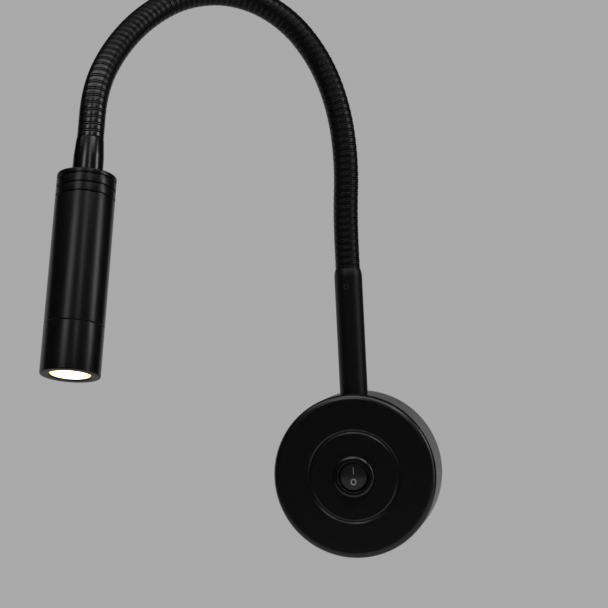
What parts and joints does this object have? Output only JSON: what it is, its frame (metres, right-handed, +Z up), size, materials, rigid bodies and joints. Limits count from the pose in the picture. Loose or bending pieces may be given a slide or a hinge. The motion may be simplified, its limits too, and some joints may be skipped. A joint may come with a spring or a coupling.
{
  "type": "wall reading lamp",
  "caption": "Black wall reading lamp: round base with a rocker switch, ribbed gooseneck arching forward, slim cylindrical head with a lit glass.",
  "frame": {"origin": "centre of the wall plate's two slots, on the wall", "axes": "+Z up along the tube, +Y into the wall, +X to the right as seen from the room"},
  "size_m": [0.1546, 0.152, 0.2826],
  "materials": {
    "base_black": "satin black",
    "tube_black": "satin black",
    "hose_black": "matte black",
    "head_black": "black anodised, satin",
    "switch_black": "fine grain",
    "collar_black": "gloss",
    "zinc_steel": "zinc plated",
    "black_screw": "black oxide",
    "brass": "plain",
    "rubber_black": "plain",
    "terminal_white": "moulded",
    "driver_white": "moulded",
    "board_green": "lacquered board",
    "coil_yellow": "tape",
    "cell_sleeve": "sleeved",
    "wire_brown": "insulation",
    "wire_blue": "insulation",
    "wire_green": "insulation",
    "lead_black": "sheath",
    "socket_zinc": "cast",
    "sink_aluminium": "plain",
    "board_white": "white lacquer on aluminium",
    "led_yellow": "phosphor, lit",
    "reflector_bright": "polished",
    "glass_frosted": "frosted, lit warm white"
  },
  "bodies": {
    "base": {"wall_bracket": "zinc_steel", "base_cover": "base_black", "cover_screws": "black_screw", "cable_grommet": "rubber_black", "terminal_block": "terminal_white", "terminal_sleeves": "brass", "terminal_screws": "zinc_steel", "driver_screws": "zinc_steel", "terminal_block_screw": "zinc_steel", "earth_screw": "zinc_steel", "earth_washer": "brass", "driver_case": "driver_white", "driver_lid": "driver_white", "driver_board": "board_green", "driver_coil": "coil_yellow", "driver_capacitor": "cell_sleeve", "switch_housing": "collar_black", "switch_blades": "brass", "wire_live": "wire_brown", "wire_neutral": "wire_blue", "wire_earth": "wire_green", "arm_socket": "socket_zinc", "socket_screws": "zinc_steel", "clamp_screw": "black_screw", "arm_tube": "tube_black", "hose_screw": "black_screw", "hose_foot": "hose_black", "hose_lead": "lead_black"},
    "hose_part_01": {"hose_link_01": "hose_black"},
    "hose_part_02": {"hose_link_02": "hose_black"},
    "hose_part_03": {"hose_link_03": "hose_black"},
    "hose_part_04": {"hose_link_04": "hose_black"},
    "hose_part_05": {"hose_link_05": "hose_black"},
    "hose_part_06": {"hose_link_06": "hose_black"},
    "hose_part_07": {"hose_link_07": "hose_black"},
    "hose_part_08": {"hose_link_08": "hose_black"},
    "hose_part_09": {"hose_link_09": "hose_black"},
    "hose_part_10": {"hose_link_10": "hose_black"},
    "head": {"hose_tip": "hose_black", "head_ferrule": "tube_black", "head_washer": "zinc_steel", "head_nut": "zinc_steel", "head_shell": "head_black", "heat_sink": "sink_aluminium", "led_board": "board_white", "led_board_screws": "zinc_steel", "led": "led_yellow", "reflector": "reflector_bright", "glass": "glass_frosted", "glass_seal": "rubber_black", "front_collar": "head_black"},
    "rocker": {"switch_rocker": "switch_black", "switch_spring": "zinc_steel", "switch_plunger": "brass"},
    "contact": {"switch_contact": "brass"}
  },
  "joints": [
    {"name": "hose_bend_01", "type": "hinge", "parent": "base", "child": "hose_part_01", "pos_m": [0, -0.013, 0.113], "axis": [-0.5, -0.866, 0], "range_deg": [-30, 10], "deforming": ["hose_lead"]},
    {"name": "hose_sway_02", "type": "hinge", "parent": "hose_part_01", "child": "hose_part_02", "pos_m": [0.00108, -0.01337, 0.13917], "axis": [-0.9439, 0.3186, 0.0872], "range_deg": [-30, 10], "deforming": ["hose_lead"]},
    {"name": "hose_bend_03", "type": "hinge", "parent": "hose_part_02", "child": "hose_part_03", "pos_m": [0.00103, -0.01359, 0.16533], "axis": [0.1271, 0.9919, 0], "range_deg": [-25, 30], "deforming": ["hose_lead"]},
    {"name": "hose_sway_04", "type": "hinge", "parent": "hose_part_03", "child": "hose_part_04", "pos_m": [-0.00416, -0.01373, 0.19095], "axis": [0.9487, 0.0672, 0.309], "range_deg": [-20, 30], "deforming": ["hose_lead"]},
    {"name": "hose_bend_05", "type": "hinge", "parent": "hose_part_04", "child": "hose_part_05", "pos_m": [-0.01573, -0.01608, 0.21422], "axis": [0.2656, -0.9641, 0], "range_deg": [-40, 20], "deforming": ["hose_lead"]},
    {"name": "hose_sway_06", "type": "hinge", "parent": "hose_part_05", "child": "hose_part_06", "pos_m": [-0.03394, -0.02353, 0.23111], "axis": [-0.4054, -0.2043, -0.891], "range_deg": [-30, 30], "deforming": ["hose_lead"]},
    {"name": "hose_bend_07", "type": "hinge", "parent": "hose_part_06", "child": "hose_part_07", "pos_m": [-0.05521, -0.03721, 0.23651], "axis": [-0.617, 0.7869, 0], "range_deg": [-13, 45], "deforming": ["hose_lead"]},
    {"name": "hose_sway_08", "type": "hinge", "parent": "hose_part_07", "child": "hose_part_08", "pos_m": [-0.07346, -0.05451, 0.22997], "axis": [-0.285, -0.3331, 0.8988], "range_deg": [-30, 30], "deforming": ["hose_lead"]},
    {"name": "hose_bend_09", "type": "hinge", "parent": "hose_part_08", "child": "hose_part_09", "pos_m": [-0.08623, -0.07258, 0.21608], "axis": [0.8729, -0.4879, 0], "range_deg": [-30, 25], "deforming": ["hose_lead"]},
    {"name": "hose_sway_10", "type": "hinge", "parent": "hose_part_09", "child": "hose_part_10", "pos_m": [-0.09399, -0.09001, 0.1982], "axis": [0.2278, 0.7074, -0.6691], "range_deg": [-30, 30], "deforming": ["hose_lead"]},
    {"name": "hose_bend_11", "type": "hinge", "parent": "hose_part_10", "child": "head", "pos_m": [-0.09718, -0.10257, 0.17566], "axis": [-0.9936, 0.1132, 0], "range_deg": [-25, 30], "deforming": ["hose_lead"]},
    {"name": "rocker_tilt", "type": "hinge", "parent": "base", "child": "rocker", "pos_m": [0, -0.0244, 0], "axis": [1, 0, 0], "range_deg": [0, 18]},
    {"name": "contact_rock", "type": "hinge", "parent": "base", "child": "contact", "pos_m": [0, -0.0153, 0], "axis": [1, 0, 0], "range_deg": [-12.5, 0]}
  ],
  "couplings": [
    {"joint": "contact_rock", "follows": "rocker_tilt", "ratio": -0.66667}
  ]
}
